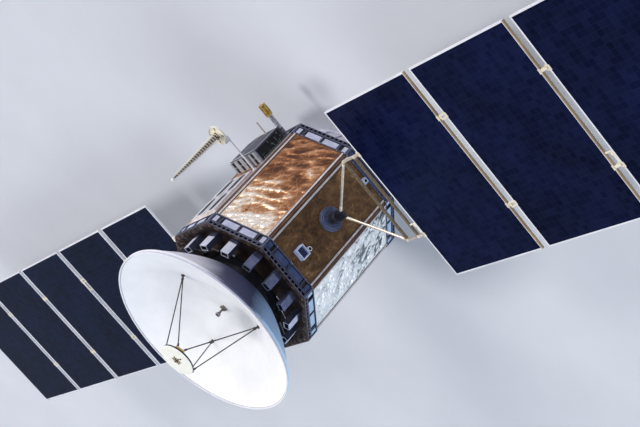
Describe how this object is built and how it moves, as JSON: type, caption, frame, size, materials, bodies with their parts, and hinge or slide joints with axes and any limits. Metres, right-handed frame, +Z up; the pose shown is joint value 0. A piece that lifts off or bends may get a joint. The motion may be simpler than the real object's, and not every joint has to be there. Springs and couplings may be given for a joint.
{
  "type": "communications satellite",
  "caption": "Octagonal communications satellite on its launch adapter, with a large fixed dish and two turning, folding solar wings.",
  "frame": {"origin": "middle of the launch adapter's lower face, on the body axis", "axes": "+Z up the body axis towards the dish, +X out along the right wing, +Y towards the side with the small antennas"},
  "size_m": [24.788, 3.705, 4.5],
  "materials": {
    "anodised_frame": "dark blue-black anodised frame, satin",
    "copper_foil": "crinkled copper-coloured insulation foil",
    "gold_foil": "brown-gold insulation foil, lightly creased",
    "silver_foil": "crinkled silver insulation foil",
    "rail_metal": "pale anodised rail",
    "strip_foil": "dark copper foil strip",
    "deck_foil": "dark brown insulation foil",
    "horn_metal": "grey-blue painted horn",
    "dark_structure": "black thermal paint",
    "dish_white": "white thermal paint",
    "dish_back": "pale lavender-grey paint",
    "rim_metal": "grey-blue rim band",
    "cream_paint": "cream paint",
    "gold_fitting": "pale gold chromate fitting",
    "rod_dark": "dark composite rod",
    "unit_grey": "blue-grey housing",
    "board_dark": "dark circuit board with green and white traces",
    "module_pale": "pale grey module",
    "helix_cream": "cream winding with gold shadows",
    "drive_grey": "blue-grey drive housing",
    "hub_dark": "black hub",
    "yoke_metal": "pale warm metal tube",
    "panel_edge": "tan composite panel with pale edges",
    "cell_blue": "dark navy solar cells under cover glass",
    "adapter_paint": "pale lavender-grey paint",
    "nozzle_metal": "dark heat-stained nozzle",
    "sensor_blue": "blue-grey sensor housing"
  },
  "bodies": {
    "bus": {"adapter_skirt": "adapter_paint", "main_thruster": "nozzle_metal", "bus_core": "deck_foil", "rear_deck": "deck_foil", "front_deck": "deck_foil", "front_ring": "anodised_frame", "rear_ring": "anodised_frame", "corner_rails": "rail_metal", "corner_strips": "strip_foil", "blankets_copper": "copper_foil", "blankets_gold": "gold_foil", "blankets_silver": "silver_foil", "feed_horns": "horn_metal", "deck_collar": "dark_structure", "dish_neck": "dark_structure", "dish_backshell": "dish_back", "dish_reflector": "dish_white", "dish_rim": "rim_metal", "dish_feed": "dark_structure", "subreflector": "cream_paint", "subreflector_back": "dark_structure", "strut_brackets": "gold_fitting", "strut_pairs": "rod_dark", "electronics_unit": "unit_grey", "electronics_board": "board_dark", "electronics_modules": "module_pale", "slotted_frame": "rail_metal", "helix_mast": "yoke_metal", "helix_disc": "cream_paint", "helix_core": "rod_dark", "helix_rings": "helix_cream", "barrel_antenna": "cream_paint", "whip_antenna": "rail_metal", "side_sensors": "sensor_blue", "right_drive_base": "drive_grey", "left_drive_base": "drive_grey"},
    "right_drive_hub": {"right_hub": "hub_dark"},
    "right_yoke_frame": {"right_yoke": "yoke_metal"},
    "right_wing_1": {"right_panel_1": "panel_edge", "right_cells_1": "cell_blue"},
    "right_wing_2": {"right_panel_2": "panel_edge", "right_cells_2": "cell_blue"},
    "right_wing_3": {"right_panel_3": "panel_edge", "right_cells_3": "cell_blue"},
    "right_wing_4": {"right_panel_4": "panel_edge", "right_cells_4": "cell_blue"},
    "right_wing_5": {"right_panel_5": "panel_edge", "right_cells_5": "cell_blue"},
    "left_drive_hub": {"left_hub": "hub_dark"},
    "left_yoke_frame": {"left_yoke": "yoke_metal"},
    "left_wing_1": {"left_panel_1": "panel_edge", "left_cells_1": "cell_blue"},
    "left_wing_2": {"left_panel_2": "panel_edge", "left_cells_2": "cell_blue"},
    "left_wing_3": {"left_panel_3": "panel_edge", "left_cells_3": "cell_blue"},
    "left_wing_4": {"left_panel_4": "panel_edge", "left_cells_4": "cell_blue"},
    "left_wing_5": {"left_panel_5": "panel_edge", "left_cells_5": "cell_blue"}
  },
  "joints": [
    {"name": "right_drive", "type": "hinge", "parent": "bus", "child": "right_drive_hub", "pos_m": [1.2531, 0, 1.64], "axis": [1, 0, 0], "continuous": true},
    {"name": "right_fold", "type": "hinge", "parent": "right_drive_hub", "child": "right_yoke_frame", "pos_m": [1.58, 0, 1.64], "axis": [0, -1, 0], "range_deg": [0, 90]},
    {"name": "right_hinge_1", "type": "hinge", "parent": "right_yoke_frame", "child": "right_wing_1", "pos_m": [2.727, 0, 1.61], "axis": [0, 1, 0], "range_deg": [0, 180]},
    {"name": "right_hinge_2", "type": "hinge", "parent": "right_wing_1", "child": "right_wing_2", "pos_m": [4.673, 0, 1.67], "axis": [0, -1, 0], "range_deg": [0, 180]},
    {"name": "right_hinge_3", "type": "hinge", "parent": "right_wing_2", "child": "right_wing_3", "pos_m": [6.619, 0, 1.61], "axis": [0, 1, 0], "range_deg": [0, 180]},
    {"name": "right_hinge_4", "type": "hinge", "parent": "right_wing_3", "child": "right_wing_4", "pos_m": [8.565, 0, 1.67], "axis": [0, -1, 0], "range_deg": [0, 180]},
    {"name": "right_hinge_5", "type": "hinge", "parent": "right_wing_4", "child": "right_wing_5", "pos_m": [10.511, 0, 1.61], "axis": [0, 1, 0], "range_deg": [0, 180]},
    {"name": "left_drive", "type": "hinge", "parent": "bus", "child": "left_drive_hub", "pos_m": [-1.2531, 0, 1.64], "axis": [-1, 0, 0], "continuous": true},
    {"name": "left_fold", "type": "hinge", "parent": "left_drive_hub", "child": "left_yoke_frame", "pos_m": [-1.58, 0, 1.64], "axis": [0, 1, 0], "range_deg": [0, 90]},
    {"name": "left_hinge_1", "type": "hinge", "parent": "left_yoke_frame", "child": "left_wing_1", "pos_m": [-2.727, 0, 1.61], "axis": [0, -1, 0], "range_deg": [0, 180]},
    {"name": "left_hinge_2", "type": "hinge", "parent": "left_wing_1", "child": "left_wing_2", "pos_m": [-4.673, 0, 1.67], "axis": [0, 1, 0], "range_deg": [0, 180]},
    {"name": "left_hinge_3", "type": "hinge", "parent": "left_wing_2", "child": "left_wing_3", "pos_m": [-6.619, 0, 1.61], "axis": [0, -1, 0], "range_deg": [0, 180]},
    {"name": "left_hinge_4", "type": "hinge", "parent": "left_wing_3", "child": "left_wing_4", "pos_m": [-8.565, 0, 1.67], "axis": [0, 1, 0], "range_deg": [0, 180]},
    {"name": "left_hinge_5", "type": "hinge", "parent": "left_wing_4", "child": "left_wing_5", "pos_m": [-10.511, 0, 1.61], "axis": [0, -1, 0], "range_deg": [0, 180]}
  ],
  "couplings": [
    {"joint": "right_hinge_1", "follows": "right_fold", "ratio": 2},
    {"joint": "right_hinge_2", "follows": "right_fold", "ratio": 2},
    {"joint": "right_hinge_3", "follows": "right_fold", "ratio": 2},
    {"joint": "right_hinge_4", "follows": "right_fold", "ratio": 2},
    {"joint": "right_hinge_5", "follows": "right_fold", "ratio": 2},
    {"joint": "left_hinge_1", "follows": "left_fold", "ratio": 2},
    {"joint": "left_hinge_2", "follows": "left_fold", "ratio": 2},
    {"joint": "left_hinge_3", "follows": "left_fold", "ratio": 2},
    {"joint": "left_hinge_4", "follows": "left_fold", "ratio": 2},
    {"joint": "left_hinge_5", "follows": "left_fold", "ratio": 2}
  ]
}
